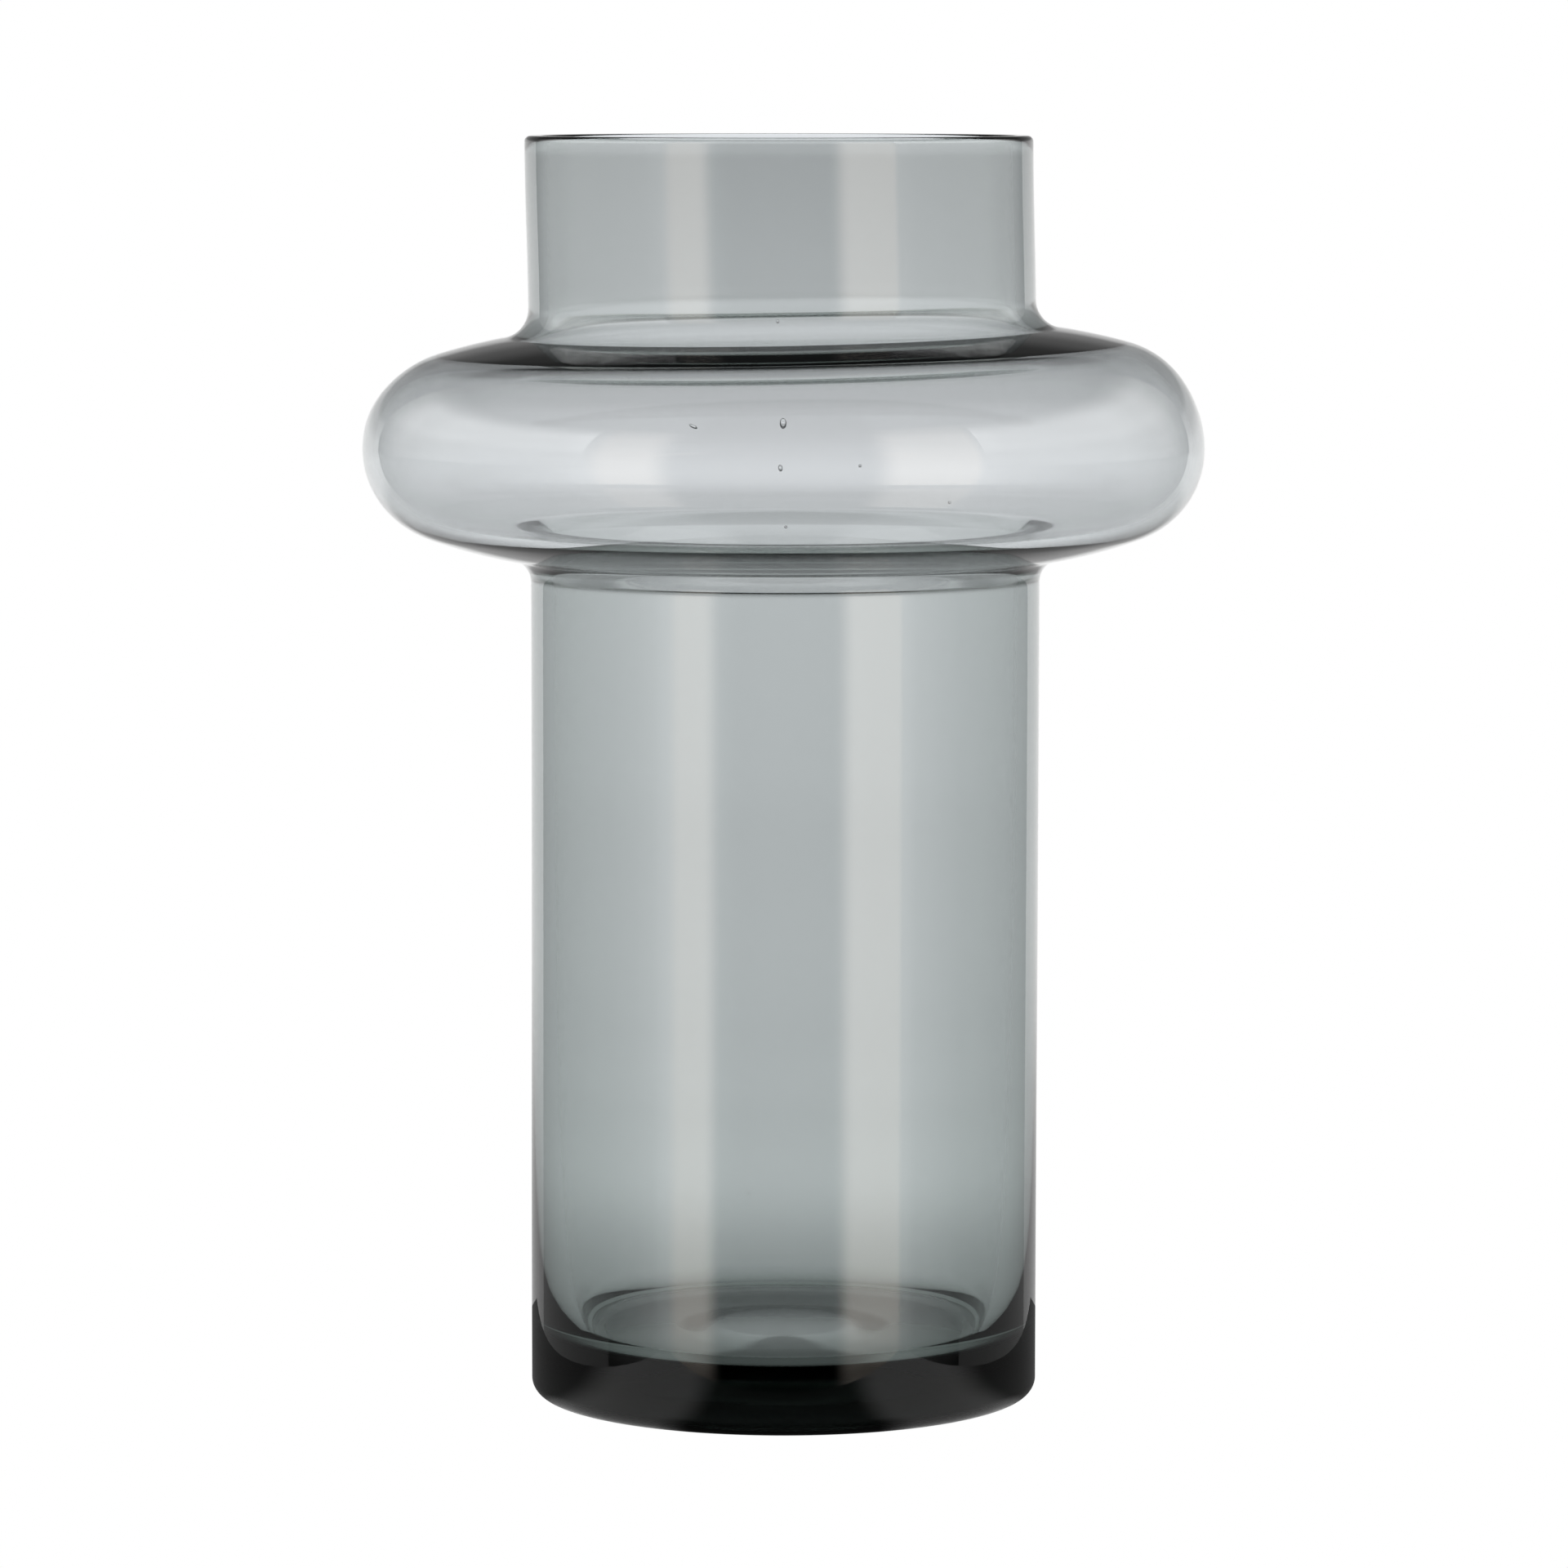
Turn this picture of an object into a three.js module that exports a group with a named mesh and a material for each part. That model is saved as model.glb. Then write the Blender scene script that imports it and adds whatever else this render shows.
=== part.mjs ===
// Mouth-blown cylinder vase in smoke-grey glass: a thick foot, a straight tube, a hollow ring
// bulge near the top, and a straight neck with a fire-polished rim.
// Millimetres, +Z up, origin at the centre of the foot's resting plane.
//
// The vase is one continuous wall of glass. Each mesh below is one zone of that wall, cut from
// its neighbours on a level plane, so the zones stack face to face with no gap.

import * as THREE from 'three';

// Driving dimensions of the outer surface
const HEIGHT = 300;
const NECK_RADIUS = 60;
const TUBE_RADIUS = 60.3;
const RING_RADIUS = 99.7;
const RING_LEVEL = 226.3;
const HEEL_RADIUS = 4;
const RIM_EDGE_RADIUS = 1.4;

// Glass thickness
const NECK_WALL = 4.8;
const TUBE_WALL = 5.3;
const RING_WALL = 3.2;
const FLOOR_THICKNESS = 15;
const FLOOR_CORNER_RADIUS = 6;
// The tube's wall gains this much at the floor, and the gain fades over this height
const FOOT_GAIN = 4.2;
const FOOT_GAIN_FADE = 41;
// A last swelling of the wall just above the floor, and the height over which it fades
const FOOT_SWELL = 2.2;
const FOOT_SWELL_FADE = 8;

// Shallow hollow under the foot, with a dimple in its middle where the blowing iron broke off
const PUNT_RADIUS = 46;
const PUNT_DEPTH = 5;
const DIMPLE_RADIUS = 26;
const DIMPLE_SIDE = 10;
const DIMPLE_DEPTH = 4;

// Level planes between the zones
const BASE_TOP = 32;
const TUBE_TOP = 192;
const NOSE_BOTTOM = RING_LEVEL - 14;
const NOSE_TOP = RING_LEVEL + 16;
const SHOULDER_TOP = 263;
const NECK_TOP = 297;

// The ring's section is a chain of tangent arcs on each side of its level: a nose, a broad
// shoulder that starts once the nose has turned by `turn` degrees, and a blend into the wall.
const OUTER_RING = {
  peak: RING_RADIUS,
  upper: { wall: NECK_RADIUS, nose: 24.6, turn: 74, shoulder: 144, blend: 7 },
  lower: { wall: TUBE_RADIUS, nose: 22, turn: 70, shoulder: 114, blend: 5.8 },
};
const INNER_RING = {
  peak: RING_RADIUS - RING_WALL,
  upper: { wall: NECK_RADIUS - NECK_WALL, nose: 21.4, turn: 78.2, shoulder: 140.8, blend: 11.5 },
  lower: { wall: TUBE_RADIUS - TUBE_WALL, nose: 18.8, turn: 74, shoulder: 110.8, blend: 10.5 },
};

const SEGMENTS = 48;
const QUARTER = Math.PI / 2;

const point = (r, z) => new THREE.Vector2(r, z);

function arc(centre, radius, from, to, steps) {
  const points = [];
  for (let i = 0; i <= steps; i += 1) {
    const angle = THREE.MathUtils.lerp(from, to, i / steps);
    points.push(point(centre.x + radius * Math.cos(angle), centre.y + radius * Math.sin(angle)));
  }
  return points;
}

// Half of the ring's section, from its level out to the straight wall, on the side given by
// `way`: 1 above the level and -1 below it
function ringHalf(peak, { wall, nose, turn, shoulder, blend }, way) {
  const turned = THREE.MathUtils.degToRad(turn);
  const noseCentre = point(peak - nose, 0);
  const back = shoulder - nose;
  const shoulderCentre = point(noseCentre.x - back * Math.cos(turned), -back * Math.sin(turned));
  const across = wall + blend - shoulderCentre.x;
  const rise = Math.sqrt((shoulder + blend) ** 2 - across ** 2);
  const blendCentre = point(wall + blend, shoulderCentre.y + rise);
  const meeting = Math.atan2(rise, across);
  const section = [
    ...arc(noseCentre, nose, 0, turned, 6),
    ...arc(shoulderCentre, shoulder, turned, meeting, 4).slice(1),
    ...arc(blendCentre, blend, meeting + Math.PI, Math.PI, 4).slice(1),
  ];
  return section.map((p) => point(p.x, RING_LEVEL + way * p.y));
}

// The ring's whole section, from the tube up to the neck
function ringSection({ peak, upper, lower }) {
  return [...ringHalf(peak, lower, -1).reverse(), ...ringHalf(peak, upper, 1).slice(1)];
}

// Radius inside the tube: the wall thickens smoothly towards the floor
function boreRadius(z) {
  const gain = FOOT_GAIN * Math.exp((FLOOR_THICKNESS - z) / FOOT_GAIN_FADE);
  const swell = FOOT_SWELL * Math.exp((FLOOR_THICKNESS - z) / FOOT_SWELL_FADE);
  return TUBE_RADIUS - TUBE_WALL - gain - swell;
}

// The rounded corner from the floor up to the wall, ending with the same lean as the wall
function floorCorner() {
  const centreHeight = FLOOR_THICKNESS + FLOOR_CORNER_RADIUS;
  const lean = Math.atan(boreRadius(centreHeight + 1) - boreRadius(centreHeight));
  const top = centreHeight - FLOOR_CORNER_RADIUS * Math.sin(lean);
  const centre = point(boreRadius(top) - FLOOR_CORNER_RADIUS * Math.cos(lean), centreHeight);
  return arc(centre, FLOOR_CORNER_RADIUS, -QUARTER, -lean, 6);
}

// The outside of the vase from the resting plane up to the top of the rim
function outerWall() {
  const heelCentre = point(TUBE_RADIUS - HEEL_RADIUS, HEEL_RADIUS);
  const lipCentre = point(NECK_RADIUS - RIM_EDGE_RADIUS, HEIGHT - RIM_EDGE_RADIUS);
  return [
    ...arc(heelCentre, HEEL_RADIUS, -QUARTER, 0, 5),
    ...ringSection(OUTER_RING),
    ...arc(lipCentre, RIM_EDGE_RADIUS, 0, QUARTER, 3),
  ];
}

// The inside of the vase from the floor up to the top of the rim
function innerWall() {
  const corner = floorCorner();
  const cornerTop = corner[corner.length - 1].y;
  const lipRadius = NECK_RADIUS - NECK_WALL + RIM_EDGE_RADIUS;
  const lipCentre = point(lipRadius, HEIGHT - RIM_EDGE_RADIUS);
  const ring = ringSection(INNER_RING);
  const bore = [];
  const boreSteps = 11;
  for (let i = 1; i < boreSteps; i += 1) {
    // The steps grow with height because the wall bends most near the floor
    const z = THREE.MathUtils.lerp(cornerTop, ring[0].y, (i / boreSteps) ** 2);
    bore.push(point(boreRadius(z), z));
  }
  return [
    ...corner,
    ...bore,
    ...ring,
    ...arc(lipCentre, RIM_EDGE_RADIUS, Math.PI, QUARTER, 3),
  ];
}

// Height of the underside above the resting plane
function puntHeight(r) {
  const hollow = PUNT_DEPTH * (1 - (r / PUNT_RADIUS) ** 2);
  return hollow + DIMPLE_DEPTH * THREE.MathUtils.smoothstep(DIMPLE_RADIUS - r, 0, DIMPLE_SIDE);
}

// The underside from the middle of the punt out to its edge on the resting plane
function underside() {
  const points = [];
  const steps = 18;
  for (let i = 0; i <= steps; i += 1) {
    const r = (PUNT_RADIUS * i) / steps;
    points.push(point(r, puntHeight(r)));
  }
  return points;
}

// Where an upward outline crosses a level plane
function cut(outline, z) {
  const above = outline.findIndex((p) => p.y >= z);
  const [a, b] = [outline[above - 1], outline[above]];
  return point(THREE.MathUtils.lerp(a.x, b.x, (z - a.y) / (b.y - a.y)), z);
}

// The part of an upward outline that lies between two level planes
function between(outline, low, high) {
  const inside = outline.filter((p) => p.y > low && p.y < high);
  return [cut(outline, low), ...inside, cut(outline, high)];
}

// A zone's section runs anticlockwise: along the bottom, up the outside and down the inside
function zone(name, section, opacity) {
  const geometry = new THREE.LatheGeometry(section, SEGMENTS);
  geometry.rotateX(QUARTER);
  const material = new THREE.MeshStandardMaterial({
    color: 0x8f9c9a,
    roughness: 0.03,
    metalness: 0,
    transparent: true,
    opacity,
  });
  const mesh = new THREE.Mesh(geometry, material);
  mesh.name = name;
  return mesh;
}

// A zone that is a plain band of wall between two level planes
function band(name, low, high, opacity) {
  const section = [...between(OUTSIDE, low, high), ...between(INSIDE, low, high).reverse()];
  section.push(section[0].clone());
  return zone(name, section, opacity);
}

// Thick floor with a rounded heel outside, a rounded corner inside and the punt below
function base() {
  const heel = OUTSIDE.filter((p) => p.y <= HEEL_RADIUS);
  const corner = INSIDE.filter((p) => p.y < BASE_TOP);
  const section = [
    ...underside(),
    ...heel,
    cut(OUTSIDE, BASE_TOP),
    cut(INSIDE, BASE_TOP),
    ...corner.reverse(),
    point(0, FLOOR_THICKNESS),
  ];
  return zone('base', section, 0.75);
}

// Fire-polished rim: the wall's two edges are melted round
function rim() {
  const outside = OUTSIDE.filter((p) => p.y > NECK_TOP);
  const inside = INSIDE.filter((p) => p.y > NECK_TOP);
  const section = [
    point(NECK_RADIUS, NECK_TOP),
    ...outside,
    ...inside.reverse(),
    point(NECK_RADIUS - NECK_WALL, NECK_TOP),
    point(NECK_RADIUS, NECK_TOP),
  ];
  return zone('rim', section, 0.55);
}

const OUTSIDE = outerWall();
const INSIDE = innerWall();

const vase = new THREE.Group();
vase.name = 'vase';
vase.add(
  base(),
  band('body_tube', BASE_TOP, TUBE_TOP, 0.45),
  band('ring_lower_shoulder', TUBE_TOP, NOSE_BOTTOM, 0.35),
  band('ring_side', NOSE_BOTTOM, NOSE_TOP, 0.35),
  band('ring_upper_shoulder', NOSE_TOP, SHOULDER_TOP, 0.35),
  band('neck_tube', SHOULDER_TOP, NECK_TOP, 0.42),
  rim(),
);

export default vase;
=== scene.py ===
"""Smoke-grey glass vase with a hollow ring bulge, standing on a pale floor in a studio."""

import math

import bpy
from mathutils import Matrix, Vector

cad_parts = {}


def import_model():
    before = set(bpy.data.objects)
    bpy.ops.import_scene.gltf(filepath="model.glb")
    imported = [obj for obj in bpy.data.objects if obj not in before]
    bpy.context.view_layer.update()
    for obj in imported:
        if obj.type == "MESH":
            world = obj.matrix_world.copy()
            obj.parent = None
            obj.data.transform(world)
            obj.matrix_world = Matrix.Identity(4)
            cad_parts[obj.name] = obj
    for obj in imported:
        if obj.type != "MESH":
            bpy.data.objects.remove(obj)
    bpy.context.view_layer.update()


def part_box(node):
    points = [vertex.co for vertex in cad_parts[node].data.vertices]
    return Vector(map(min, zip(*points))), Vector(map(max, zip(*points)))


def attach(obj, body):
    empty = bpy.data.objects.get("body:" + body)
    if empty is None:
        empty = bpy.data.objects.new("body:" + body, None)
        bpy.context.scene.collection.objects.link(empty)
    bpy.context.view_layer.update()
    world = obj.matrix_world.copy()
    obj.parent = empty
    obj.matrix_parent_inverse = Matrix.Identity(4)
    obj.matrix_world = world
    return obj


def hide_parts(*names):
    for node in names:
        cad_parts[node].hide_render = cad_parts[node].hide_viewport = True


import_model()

MM = 0.001
QUARTER = math.pi / 2

# Outer sizes, from the frame
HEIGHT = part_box("rim")[1][2]
NECK_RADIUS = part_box("neck_tube")[1][0]
TUBE_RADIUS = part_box("body_tube")[1][0]
RING_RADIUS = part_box("ring_side")[1][0]

# Glass thickness
NECK_WALL = 4.8 * MM
TUBE_WALL = 5.3 * MM
RING_WALL = 2.8 * MM
FLOOR_THICKNESS = 15 * MM
FLOOR_CORNER_RADIUS = 6 * MM
# The tube's wall gains this much at the floor, and the gain fades over this height
FOOT_GAIN = 4.2 * MM
FOOT_GAIN_FADE = 41 * MM
# A last swelling of the wall just above the floor, and the height over which it fades
FOOT_SWELL = 1.6 * MM
FOOT_SWELL_FADE = 6 * MM

# Foot, ring and rim
HEEL_RADIUS = 4 * MM
PUNT_RADIUS = 46 * MM
PUNT_DEPTH = 5 * MM
# A small hollow in the middle of the punt, where the blower's iron was broken off
DIMPLE_RADIUS = 26 * MM
DIMPLE_SIDE = 10 * MM
DIMPLE_DEPTH = 4 * MM
RING_LEVEL = 226.3 * MM
RIM_EDGE_RADIUS = 1.4 * MM

# The ring stands a little off centre, so it is drawn in by this much to stay inside the CAD's
# outline
RING_MARGIN = 0.1 * MM

# Tangent arcs on each side of the ring's level: a nose, a broad shoulder that starts once the
# nose has turned by `turn` degrees, and a blend into the straight wall. The arcs' radii are in
# mm, and the peak and the wall in metres.
OUTER_RING = {
    "peak": RING_RADIUS - RING_MARGIN,
    "upper": {"wall": NECK_RADIUS, "nose": 24.6, "turn": 74, "shoulder": 144, "blend": 7},
    "lower": {"wall": TUBE_RADIUS, "nose": 22, "turn": 70, "shoulder": 114, "blend": 5.8},
}
INNER_RING = {
    "peak": RING_RADIUS - RING_MARGIN - RING_WALL,
    "upper": {
        "wall": NECK_RADIUS - NECK_WALL, "nose": 21.85, "turn": 82.7, "shoulder": 124,
        "blend": 10.9,
    },
    "lower": {
        "wall": TUBE_RADIUS - TUBE_WALL, "nose": 18.9, "turn": 71.8, "shoulder": 119,
        "blend": 7,
    },
}

# Into how many steps each stretch of the section, and the turn round the axis, is divided
SEGMENTS = 288
UNDERSIDE_STEPS = 50
HEEL_STEPS = 12
TUBE_STEPS = 44
NOSE_STEPS = 28
SHOULDER_STEPS = 20
BLEND_STEPS = 16
NECK_STEPS = 12
LIP_STEPS = 6
CORNER_STEPS = 16
FLOOR_STEPS = 8

# Seeds, small bubbles blown into the wall, seen from the front and in mm: sideways place,
# height, width, length and slant in degrees
SEEDS = [
    (0, 236.6, 1.5, 2.6, 0), (-20, 236, 2.2, 0.8, -28), (-0.7, 227, 1, 1.5, 8),
    (0.4, 214, 0.8, 0.8, 0), (-1, 258, 0.7, 1, 0), (17, 227.4, 0.7, 0.7, 0),
    (37, 219, 0.8, 0.6, 20), (-8, 57, 0.5, 0.5, 0),
]
SEED_THICKNESS = 0.7
SEED_ROWS = 8
SEED_COLUMNS = 12

# How far the axis wanders sideways with height, in mm: (height, shift)
AXIS_WANDER = [(0, -0.1), (192, 0.3), (226, -0.1), (254, -0.4), (300, -1.2)]
# The ring's upper shoulder sits lower on one side and higher on the other. The tilt grows
# above the ring's level and fades out again up the neck.
SHOULDER_TILT = 1.1 * MM
TILT_GROWS_OVER = 22 * MM
TILT_FADES_FROM = 255 * MM
TILT_FADES_OVER = 20 * MM

# The glass's colour in its depth, how strongly it takes up light per metre, and its index
GLASS_COLOR = (0.225, 0.29, 0.26, 1)
GLASS_DENSITY = 103
GLASS_IOR = 1.52
# The faint waves in its surface, which lie closer together up the wall than round it
WAVE_SCALE = 45
WAVE_SQUEEZE = 2.2
WAVE_STRENGTH = 0.07
WAVE_HEIGHT = 0.1 * MM
# The underside is ground matt
MATT_BELOW = 12 * MM
MATT_ROUGHNESS = 0.35

# How many times light may bounce: walls of glass behind each other need many
GLASS_BOUNCES = 32
TRANSPARENT_BOUNCES = 16

FLOOR_LEVEL = -0.5 * MM

# Camera: metres, radians and millimetres of lens and sensor
CAMERA_DISTANCE = 1.683
CAMERA_HEIGHT = 0.315
CAMERA_PITCH = 0.0999
LENS = 163.2
SENSOR_WIDTH = 36


def smooth(t):
    """Rise from 0 to 1 with level ends."""
    t = min(max(t, 0), 1)
    return t * t * (3 - 2 * t)


# ---------- the section of the glass ----------

def arc(centre, radius, start, end, steps):
    points = []
    for i in range(steps + 1):
        angle = start + (end - start) * i / steps
        points.append((centre[0] + radius * math.cos(angle), centre[1] + radius * math.sin(angle)))
    return points


def line(start, end, steps):
    return [
        (start[0] + (end[0] - start[0]) * i / steps, start[1] + (end[1] - start[1]) * i / steps)
        for i in range(steps + 1)
    ]


def ring_half(peak, side, way):
    """The ring's section from its level to the straight wall, way = 1 up or -1 down."""
    nose, shoulder, blend = side["nose"] * MM, side["shoulder"] * MM, side["blend"] * MM
    turn = math.radians(side["turn"])
    nose_centre = (peak - nose, 0)
    back = shoulder - nose
    shoulder_centre = (nose_centre[0] - back * math.cos(turn), -back * math.sin(turn))
    across = side["wall"] + blend - shoulder_centre[0]
    rise = math.sqrt((shoulder + blend) ** 2 - across ** 2)
    blend_centre = (side["wall"] + blend, shoulder_centre[1] + rise)
    meeting = math.atan2(rise, across)
    section = arc(nose_centre, nose, 0, turn, NOSE_STEPS)
    section += arc(shoulder_centre, shoulder, turn, meeting, SHOULDER_STEPS)[1:]
    section += arc(blend_centre, blend, meeting + math.pi, math.pi, BLEND_STEPS)[1:]
    return [(r, RING_LEVEL + way * z) for r, z in section]


def ring_section(ring):
    """From the tube up to the neck."""
    lower = ring_half(ring["peak"], ring["lower"], -1)
    upper = ring_half(ring["peak"], ring["upper"], 1)
    return lower[::-1] + upper[1:]


def bore_radius(z):
    """Radius inside the tube, where the wall thickens towards the floor."""
    gain = FOOT_GAIN * math.exp((FLOOR_THICKNESS - z) / FOOT_GAIN_FADE)
    swell = FOOT_SWELL * math.exp((FLOOR_THICKNESS - z) / FOOT_SWELL_FADE)
    return TUBE_RADIUS - TUBE_WALL - gain - swell


def punt_height(r):
    """Height of the underside above the table."""
    hollow = PUNT_DEPTH * (1 - (r / PUNT_RADIUS) ** 2)
    return hollow + DIMPLE_DEPTH * smooth((DIMPLE_RADIUS - r) / DIMPLE_SIDE)


def outside_section():
    """Under the foot, up the outside and over the outer edge of the rim."""
    ring = ring_section(OUTER_RING)
    section = []
    for i in range(UNDERSIDE_STEPS + 1):
        r = PUNT_RADIUS * i / UNDERSIDE_STEPS
        section.append((r, punt_height(r)))
    heel_centre = (TUBE_RADIUS - HEEL_RADIUS, HEEL_RADIUS)
    section += arc(heel_centre, HEEL_RADIUS, -QUARTER, 0, HEEL_STEPS)
    section += line(section[-1], ring[0], TUBE_STEPS)[1:]
    section += ring[1:]
    section += line(section[-1], (NECK_RADIUS, HEIGHT - RIM_EDGE_RADIUS), NECK_STEPS)[1:]
    lip_centre = (NECK_RADIUS - RIM_EDGE_RADIUS, HEIGHT - RIM_EDGE_RADIUS)
    section += arc(lip_centre, RIM_EDGE_RADIUS, 0, QUARTER, LIP_STEPS)[1:]
    return section


def inside_section():
    """Over the inner edge of the rim, down the inside and across the floor."""
    neck = NECK_RADIUS - NECK_WALL
    ring = ring_section(INNER_RING)
    lip_centre = (neck + RIM_EDGE_RADIUS, HEIGHT - RIM_EDGE_RADIUS)
    section = arc(lip_centre, RIM_EDGE_RADIUS, QUARTER, math.pi, LIP_STEPS)
    section += line(section[-1], ring[-1], NECK_STEPS)[1:]
    section += ring[::-1][1:]
    # The corner starts where its arc runs on smoothly from the swelling wall
    corner_top = FLOOR_THICKNESS + FLOOR_CORNER_RADIUS
    slope = (bore_radius(corner_top + MM) - bore_radius(corner_top)) / MM
    start = -math.atan(slope)
    corner_top += FLOOR_CORNER_RADIUS * math.sin(start)
    bore_top = ring[0][1]
    for i in range(1, TUBE_STEPS + 1):
        z = bore_top + (corner_top - bore_top) * i / TUBE_STEPS
        section.append((bore_radius(z), z))
    corner_centre = (
        bore_radius(corner_top) - FLOOR_CORNER_RADIUS * math.cos(start),
        FLOOR_THICKNESS + FLOOR_CORNER_RADIUS,
    )
    section += arc(corner_centre, FLOOR_CORNER_RADIUS, start, -QUARTER, CORNER_STEPS)[1:]
    section += line(section[-1], (0, FLOOR_THICKNESS), FLOOR_STEPS)[1:]
    return section


# ---------- the glass mesh ----------

def axis_shift(z):
    """Sideways shift of the vase's axis at one height."""
    for (low, before), (high, after) in zip(AXIS_WANDER, AXIS_WANDER[1:]):
        if z <= high * MM:
            return (before + (after - before) * smooth((z / MM - low) / (high - low))) * MM
    return AXIS_WANDER[-1][1] * MM


def settle(x, y, z):
    """Move a point of the true turned shape to where hand blowing left it."""
    grows = smooth((z - RING_LEVEL) / TILT_GROWS_OVER)
    fades = 1 - smooth((z - TILT_FADES_FROM) / TILT_FADES_OVER)
    tilt = SHOULDER_TILT * grows * fades * x / NECK_RADIUS
    return (x + axis_shift(z), y, z + tilt)


def lathe_mesh(section):
    """Vertices and faces of a closed solid whose section starts and ends on the axis."""
    verts = [(0, 0, section[0][1])]
    inner = section[1:-1]
    for r, z in inner:
        for s in range(SEGMENTS):
            angle = 2 * math.pi * s / SEGMENTS
            verts.append((r * math.cos(angle), r * math.sin(angle), z))
    verts.append((0, 0, section[-1][1]))
    faces = []
    for s in range(SEGMENTS):
        after = (s + 1) % SEGMENTS
        faces.append((0, 1 + after, 1 + s))
        for row in range(len(inner) - 1):
            low = 1 + row * SEGMENTS
            high = low + SEGMENTS
            faces.append((low + s, low + after, high + after, high + s))
        last = 1 + (len(inner) - 1) * SEGMENTS
        faces.append((last + s, last + after, len(verts) - 1))
    return verts, faces


def wall_at(z):
    """Radius of the middle of the wall at one height, and its slope outwards with height."""
    middle = []
    for level in (z, z + MM):
        radii = []
        for section in (outside_section(), inside_section()[::-1]):
            for low, high in zip(section, section[1:]):
                if low[1] <= level < high[1] and low[0] > TUBE_RADIUS / 2:
                    share = (level - low[1]) / (high[1] - low[1])
                    radii.append(low[0] + (high[0] - low[0]) * share)
                    break
        middle.append(sum(radii) / len(radii))
    return middle[0], (middle[1] - middle[0]) / MM


def seed_mesh(across, z, width, length, slant, first):
    """A small hollow inside the front wall: its faces look into the hollow."""
    radius, slope = wall_at(z)
    depth = -math.sqrt(radius ** 2 - across ** 2)
    outward = (across / radius, depth / radius)
    steep = math.hypot(1, slope)
    side = (-outward[1], outward[0], 0)
    rise = (outward[0] * slope / steep, outward[1] * slope / steep, 1 / steep)
    normal = (outward[0] / steep, outward[1] / steep, -slope / steep)
    turn = math.radians(slant)
    verts = []
    for row in range(SEED_ROWS + 1):
        polar = math.pi * row / SEED_ROWS
        for column in range(SEED_COLUMNS if 0 < row < SEED_ROWS else 1):
            angle = 2 * math.pi * column / SEED_COLUMNS
            u = width / 2 * MM * math.sin(polar) * math.cos(angle)
            v = length / 2 * MM * math.cos(polar)
            w = SEED_THICKNESS / 2 * MM * math.sin(polar) * math.sin(angle)
            u, v = u * math.cos(turn) - v * math.sin(turn), u * math.sin(turn) + v * math.cos(turn)
            verts.append(tuple(
                base + u * a + v * b + w * c
                for base, a, b, c in zip((across, depth, z), side, rise, normal)
            ))
    faces = []
    last = first + len(verts) - 1
    for column in range(SEED_COLUMNS):
        after = (column + 1) % SEED_COLUMNS
        faces.append((first, first + 1 + after, first + 1 + column))
        for row in range(SEED_ROWS - 2):
            top = first + 1 + row * SEED_COLUMNS
            below = top + SEED_COLUMNS
            faces.append((top + column, top + after, below + after, below + column))
        end = first + 1 + (SEED_ROWS - 2) * SEED_COLUMNS
        faces.append((last, end + column, end + after))
    return verts, faces


def glass_object(name, material):
    """The one piece of glass with the seeds inside its wall."""
    verts, faces = lathe_mesh(outside_section() + inside_section())
    for across, height, width, length, slant in SEEDS:
        seed = seed_mesh(across * MM, height * MM, width, length, slant, len(verts))
        verts += seed[0]
        faces += seed[1]
    mesh = bpy.data.meshes.new(name)
    mesh.from_pydata([settle(*vert) for vert in verts], [], faces)
    mesh.shade_smooth()
    mesh.materials.append(material)
    obj = bpy.data.objects.new(name, mesh)
    bpy.context.scene.collection.objects.link(obj)
    return obj


# ---------- materials ----------

def new_material(name):
    material = bpy.data.materials.new(name)
    material.use_nodes = True
    material.node_tree.nodes.clear()
    return material, material.node_tree


def math_node(tree, operation, first, second=0):
    node = tree.nodes.new("ShaderNodeMath")
    node.operation = operation
    for socket, value in zip(node.inputs, (first, second)):
        if isinstance(value, (int, float)):
            socket.default_value = value
        else:
            tree.links.new(value, socket)
    return node.outputs[0]


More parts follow.
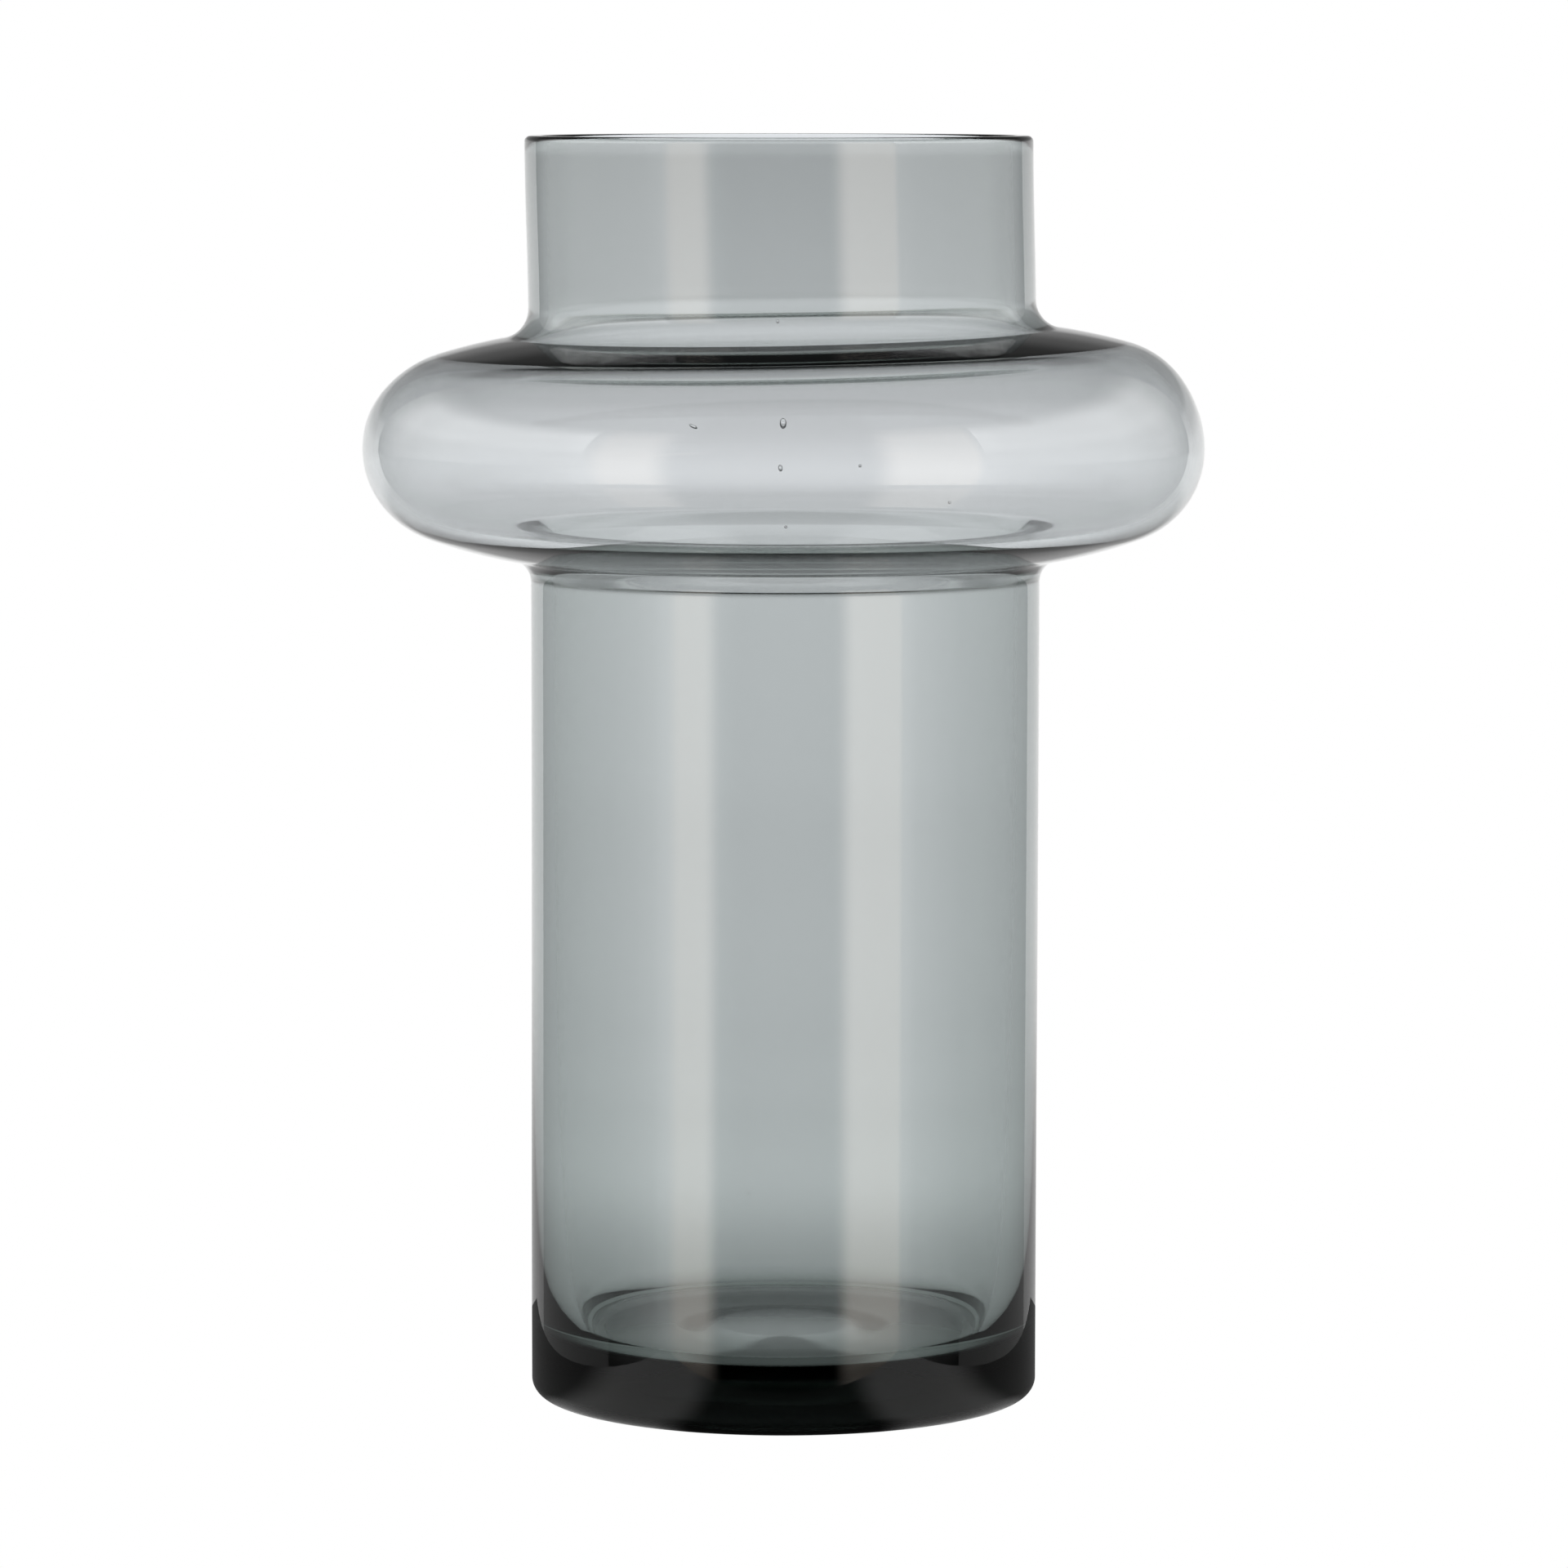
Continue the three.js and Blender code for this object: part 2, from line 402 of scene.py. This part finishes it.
def smoke_glass():
    """Clear smoke-grey glass, faintly wavy, with a ground matt underside."""
    material, tree = new_material("smoke_glass")
    shader = tree.nodes.new("ShaderNodeBsdfPrincipled")
    shader.inputs["Base Color"].default_value = (1, 1, 1, 1)
    shader.inputs["IOR"].default_value = GLASS_IOR
    shader.inputs["Transmission Weight"].default_value = 1

    # Rough where the surface is low and inside the heel, smooth everywhere else
    place = tree.nodes.new("ShaderNodeTexCoord")
    split = tree.nodes.new("ShaderNodeSeparateXYZ")
    tree.links.new(place.outputs["Object"], split.inputs[0])
    x, y, z = split.outputs
    x_squared = math_node(tree, "POWER", x, 2)
    y_squared = math_node(tree, "POWER", y, 2)
    off_axis_squared = math_node(tree, "ADD", x_squared, y_squared)
    under = math_node(tree, "LESS_THAN", off_axis_squared, (TUBE_RADIUS - HEEL_RADIUS) ** 2)
    low = math_node(tree, "LESS_THAN", z, MATT_BELOW)
    ground = math_node(tree, "MULTIPLY", under, low)
    tree.links.new(math_node(tree, "MULTIPLY", ground, MATT_ROUGHNESS), shader.inputs["Roughness"])

    squeeze = tree.nodes.new("ShaderNodeMapping")
    squeeze.inputs["Scale"].default_value = (1, 1, WAVE_SQUEEZE)
    tree.links.new(place.outputs["Object"], squeeze.inputs["Vector"])
    waves = tree.nodes.new("ShaderNodeTexNoise")
    waves.inputs["Scale"].default_value = WAVE_SCALE
    waves.inputs["Detail"].default_value = 2
    tree.links.new(squeeze.outputs["Vector"], waves.inputs["Vector"])
    relief = tree.nodes.new("ShaderNodeBump")
    relief.inputs["Strength"].default_value = WAVE_STRENGTH
    relief.inputs["Distance"].default_value = WAVE_HEIGHT
    tree.links.new(waves.outputs["Fac"], relief.inputs["Height"])
    tree.links.new(relief.outputs["Normal"], shader.inputs["Normal"])

    body = tree.nodes.new("ShaderNodeVolumeAbsorption")
    body.inputs["Color"].default_value = GLASS_COLOR
    body.inputs["Density"].default_value = GLASS_DENSITY
    out = tree.nodes.new("ShaderNodeOutputMaterial")
    tree.links.new(shader.outputs["BSDF"], out.inputs["Surface"])
    tree.links.new(body.outputs["Volume"], out.inputs["Volume"])
    return material


def brightness_ramp(tree, factor, peak, stops):
    """Colour along a factor, from (distance, colour) stops, as a share of the peak."""
    ramp = tree.nodes.new("ShaderNodeValToRGB")
    ramp.color_ramp.interpolation = "EASE"
    points = ramp.color_ramp.elements
    while len(points) < len(stops):
        points.new(0.5)
    low = stops[0][0]
    reach = stops[-1][0] - low
    for point, (distance, color) in zip(points, stops):
        point.position = (distance - low) / reach
        point.color = (*[c / peak for c in color], 1)
    amount = math_node(tree, "SUBTRACT", factor, low)
    tree.links.new(math_node(tree, "DIVIDE", amount, reach), ramp.inputs[0])
    return ramp.outputs["Color"]


def graded_light(name, peak, *gradings):
    """Emission graded along one factor, or along two multiplied, each given with its stops.

    The first grading's colours may be as bright as the peak, and the second's at most 1.
    """
    material, tree = new_material(name)
    place = tree.nodes.new("ShaderNodeNewGeometry")
    split = tree.nodes.new("ShaderNodeSeparateXYZ")
    tree.links.new(place.outputs["Position"], split.inputs[0])
    shader = tree.nodes.new("ShaderNodeEmission")
    shader.inputs["Strength"].default_value = peak
    colors = []
    for factor, stops in gradings:
        share = 1 if colors else peak
        colors.append(brightness_ramp(tree, factor(tree, split.outputs), share, stops))
    if len(colors) == 2:
        mix = tree.nodes.new("ShaderNodeMix")
        mix.data_type = "RGBA"
        mix.blend_type = "MULTIPLY"
        mix.inputs["Factor"].default_value = 1
        tree.links.new(colors[0], mix.inputs["A"])
        tree.links.new(colors[1], mix.inputs["B"])
        colors = [mix.outputs["Result"]]
    tree.links.new(colors[0], shader.inputs["Color"])
    out = tree.nodes.new("ShaderNodeOutputMaterial")
    tree.links.new(shader.outputs["Emission"], out.inputs["Surface"])
    return material


def height_of(tree, position):
    return position["Z"]


def along_the_sweep(tree, position):
    """Distance out along the floor, then on up the wall."""
    x_squared = math_node(tree, "MULTIPLY", position["X"], position["X"])
    y_squared = math_node(tree, "MULTIPLY", position["Y"], position["Y"])
    out = math_node(tree, "SQRT", math_node(tree, "ADD", x_squared, y_squared))
    return math_node(tree, "ADD", out, position["Z"])


def round_the_side(tree, position):
    """Angle away from the front, in degrees, the same on both sides."""
    forward = math_node(tree, "MULTIPLY", position["Y"], -1)
    angle = math_node(tree, "ARCTAN2", position["X"], forward)
    return math_node(tree, "MULTIPLY", math_node(tree, "ABSOLUTE", angle), 180 / math.pi)


def grey(value):
    return (value, value, value)


def tint(value):
    """A faintly cool white."""
    return (value, value, value * 1.05)


def even_light(name, value):
    return graded_light(name, 1, (height_of, [(0, grey(value)), (1, grey(value))]))


# ---------- the studio ----------

def stage_object(name, verts, faces, material, seen_by):
    """A piece of the studio that only the named kinds of ray see."""
    mesh = bpy.data.meshes.new(name)
    mesh.from_pydata(verts, [], faces)
    mesh.materials.append(material)
    obj = bpy.data.objects.new(name, mesh)
    obj.visible_camera = "camera" in seen_by
    obj.visible_diffuse = "diffuse" in seen_by
    obj.visible_glossy = "glossy" in seen_by
    obj.visible_transmission = "transmission" in seen_by
    bpy.context.scene.collection.objects.link(obj)


def sweep(name, radius, top, material, seen_by):
    """A round floor with an upright wall all round it and a lid."""
    steps = 96
    verts = [(0, 0, FLOOR_LEVEL)]
    for z in (FLOOR_LEVEL, top):
        for s in range(steps):
            angle = 2 * math.pi * s / steps
            verts.append((radius * math.cos(angle), radius * math.sin(angle), z))
    verts.append((0, 0, top))
    faces = []
    for s in range(steps):
        after = (s + 1) % steps
        faces.append((0, 1 + s, 1 + after))
        faces.append((1 + s, 1 + after, 1 + steps + after, 1 + steps + s))
        faces.append((1 + steps + s, 1 + steps + after, len(verts) - 1))
    stage_object(name, verts, faces, material, seen_by)


def curved_panel(name, start, end, distance, low, high, material):
    """An upright panel bent round the vase between two directions, 0 being the front.

    Only reflections show it.
    """
    steps = 24
    verts = []
    for i in range(steps + 1):
        a = math.radians(start + (end - start) * i / steps)
        for z in (low, high):
            verts.append((distance * math.sin(a), -distance * math.cos(a), z))
    faces = [(2 * i, 2 * i + 2, 2 * i + 3, 2 * i + 1) for i in range(steps)]
    stage_object(name, verts, faces, material, {"glossy"})


def camera():
    data = bpy.data.cameras.new("camera")
    data.sensor_width = SENSOR_WIDTH
    data.lens = LENS
    obj = bpy.data.objects.new("camera", data)
    obj.location = (0, -CAMERA_DISTANCE, CAMERA_HEIGHT)
    obj.rotation_euler = (QUARTER - CAMERA_PITCH, 0, 0)
    bpy.context.scene.collection.objects.link(obj)
    bpy.context.scene.camera = obj


def world():
    """No light of its own: all light comes from the sweeps and panels."""
    scene = bpy.context.scene
    scene.world = bpy.data.worlds.new("studio")
    scene.world.use_nodes = True
    background = scene.world.node_tree.nodes["Background"]
    background.inputs["Color"].default_value = (1, 1, 1, 1)
    background.inputs["Strength"].default_value = 0


camera()
world()

# The camera and matt surfaces see a plain white sweep
WHITE_RADIUS = 4
WHITE_TOP = 4
sweep("white_sweep", WHITE_RADIUS, WHITE_TOP, even_light("white", 1), {"camera", "diffuse"})

# What shows through the glass, by distance out along the floor and on up the wall: bright on
# the floor, dimmer up the wall and dark overhead. It is darker in front, round the camera,
# where the light that the inside of the glass sends back comes from.
SWEEP_RADIUS = 1.5
SURROUND_TOP = 2.6
SURROUND_PEAK = 1.6
SURROUND = [
    (0, 1.15), (0.12, 1.15), (0.25, 1.4), (0.40, 1.26), (0.60, 1.18), (1.20, 1.13), (1.50, 1.17),
    (1.577, 1.19), (1.71, 0.94), (1.79, 0.82), (2.15, 0.73), (2.40, 0.53), (2.62, 0.05),
    (4.1, 0.03),
]
SURROUND_ROUND = [(0, grey(0.45)), (22, grey(0.45)), (36, grey(1)), (180, grey(1))]
by_distance = [(distance, tint(value)) for distance, value in SURROUND]
surround = graded_light(
    "surround", SURROUND_PEAK, (along_the_sweep, by_distance), (round_the_side, SURROUND_ROUND),
)
sweep("surround", SWEEP_RADIUS, SURROUND_TOP, surround, {"transmission"})

# What the glass mirrors: a backdrop, dim sides and two softboxes either side of the camera.
# Directions are in degrees from the front, and heights in metres.
BACKDROP_START = 140.7
BACKDROP_REACH = 1.5
BACKDROP = [
    (-BACKDROP_REACH, grey(0.2)), (-0.64, grey(0.3)), (-0.22, grey(0.52)), (-0.06, grey(1.0)),
    (0.22, grey(1.0)), (0.38, grey(0.65)), (0.48, grey(0.28)), (0.66, grey(0.17)),
    (0.88, grey(0.08)), (BACKDROP_REACH, grey(0.05)),
]
backdrop = graded_light("backdrop", 1, (height_of, BACKDROP))
curved_panel(
    "backdrop", BACKDROP_START, 360 - BACKDROP_START, SWEEP_RADIUS, -BACKDROP_REACH,
    BACKDROP_REACH, backdrop,
)

SIDE_GLOW = 0.28
SIDE_START = 60
SIDE_TOP = 0.6
side = even_light("side", SIDE_GLOW)
for name, start, end in (
    ("side_left", -BACKDROP_START, -SIDE_START), ("side_right", SIDE_START, BACKDROP_START),
):
    curved_panel(name, start, end, SWEEP_RADIUS, -BACKDROP_REACH, SIDE_TOP, side)

# Each softbox has a bright strip nearest the camera and a broad wing round to the side. The
# wing stops above the table's level; below that the strip fades into the dim side.
SOFTBOX_DISTANCE = 1.3
SOFTBOX_LOW = -1
SOFTBOX_TOP = 1.16
STRIP = (3.2, 2.9, 2.6)
STRIP_END = 1.7
# The strip's soft edge reaches this far towards the camera and away from it
EDGE_TOWARDS = 5
EDGE_AWAY = 4
STRIP_HEIGHTS = [
    (SOFTBOX_LOW, grey(0.5)), (-0.34, grey(0.5)), (-0.27, grey(0.2)), (-0.215, grey(0.2)),
    (-0.19, grey(1)), (0.3, grey(1)), (0.8, grey(0.7)), (SOFTBOX_TOP, grey(0.2)),
]
WING_LOW = 0.17
WING_START = 54
WING_END = 141
WING_PEAK = 3.4
WING_HEIGHTS = [
    (WING_LOW, grey(0.36)), (0.25, grey(0.45)), (0.4, grey(0.55)), (0.6, grey(0.9)),
    (0.85, grey(1)), (SOFTBOX_TOP, grey(0.1)),
]
WING = [
    (0, grey(WING_PEAK)), (WING_START, grey(WING_PEAK)), (64, grey(2.7)), (100, grey(2.7)),
    (120, grey(1.8)), (WING_END, grey(0.5)), (180, grey(0.5)),
]
TAIL_END = 85


def softbox(name, way, inner, shoulder, fade):
    """One softbox, way = -1 left or 1 right.

    The strip's soft edge lies round `inner` and its brightness falls from `shoulder` on. The
    tail has nearly faded at `fade`.
    """
    edge = inner - EDGE_TOWARDS
    strip = [
        (0, grey(0.05)), (edge, grey(0.05)), (inner + EDGE_AWAY, STRIP), (shoulder, STRIP),
        (WING_START, grey(STRIP_END)), (180, grey(STRIP_END)),
    ]
    tail = [
        (0, grey(STRIP_END)), (WING_START, grey(STRIP_END)), (62, grey(0.9)), (fade, grey(0.5)),
        (TAIL_END, grey(SIDE_GLOW)), (180, grey(SIDE_GLOW)),
    ]
    for part, peak, around, heights, start, end, low, high in (
        ("strip_", STRIP[0], strip, STRIP_HEIGHTS, edge, WING_START, SOFTBOX_LOW, SOFTBOX_TOP),
        ("wing_", WING_PEAK, WING, WING_HEIGHTS, WING_START, WING_END, WING_LOW, SOFTBOX_TOP),
        ("tail_", STRIP_END, tail, STRIP_HEIGHTS, WING_START, TAIL_END, SOFTBOX_LOW, WING_LOW),
    ):
        light = graded_light(part + name, peak, (round_the_side, around), (height_of, heights))
        curved_panel(part + name, way * start, way * end, SOFTBOX_DISTANCE, low, high, light)


softbox("left", -1, 32.5, 47, 71)
softbox("right", 1, 27, 51, 76)

# The foot mirrors a glowing sheet with a painted reflection on it: a dark table top with a faint
# image of the softboxes in it
TABLE_HALF_WIDTH = 0.12
TABLE_PAINTED_REFLECTION = [
    (0, grey(0.03)), (22, grey(0.03)), (34, grey(0.6)), (60, grey(0.6)), (80, grey(0.1)),
    (180, grey(0.1)),
]
# Painted reflection: the glow is dark in front and brighter round the sides, where the softboxes'
# image is painted in
painted_table_reflection = graded_light("painted_reflection_of_table", 1, (round_the_side, TABLE_PAINTED_REFLECTION))
half = TABLE_HALF_WIDTH
corners = [
    (-half, -half, FLOOR_LEVEL), (half, -half, FLOOR_LEVEL), (half, half, FLOOR_LEVEL),
    (-half, half, FLOOR_LEVEL),
]
# The sheet is seen only in reflections, so it shows the painted reflection and lights nothing
stage_object("painted_reflection_sheet", corners, [(0, 1, 2, 3)], painted_table_reflection, {"glossy"})

# ---------- the vase ----------

glass = glass_object("vase_glass", smoke_glass())
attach(glass, "root")
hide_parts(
    "base", "body_tube", "ring_lower_shoulder", "ring_side", "ring_upper_shoulder",
    "neck_tube", "rim",
)

scene = bpy.context.scene
scene.view_settings.view_transform = "Standard"
scene.cycles.max_bounces = GLASS_BOUNCES
scene.cycles.transmission_bounces = GLASS_BOUNCES
scene.cycles.glossy_bounces = GLASS_BOUNCES
scene.cycles.transparent_max_bounces = TRANSPARENT_BOUNCES
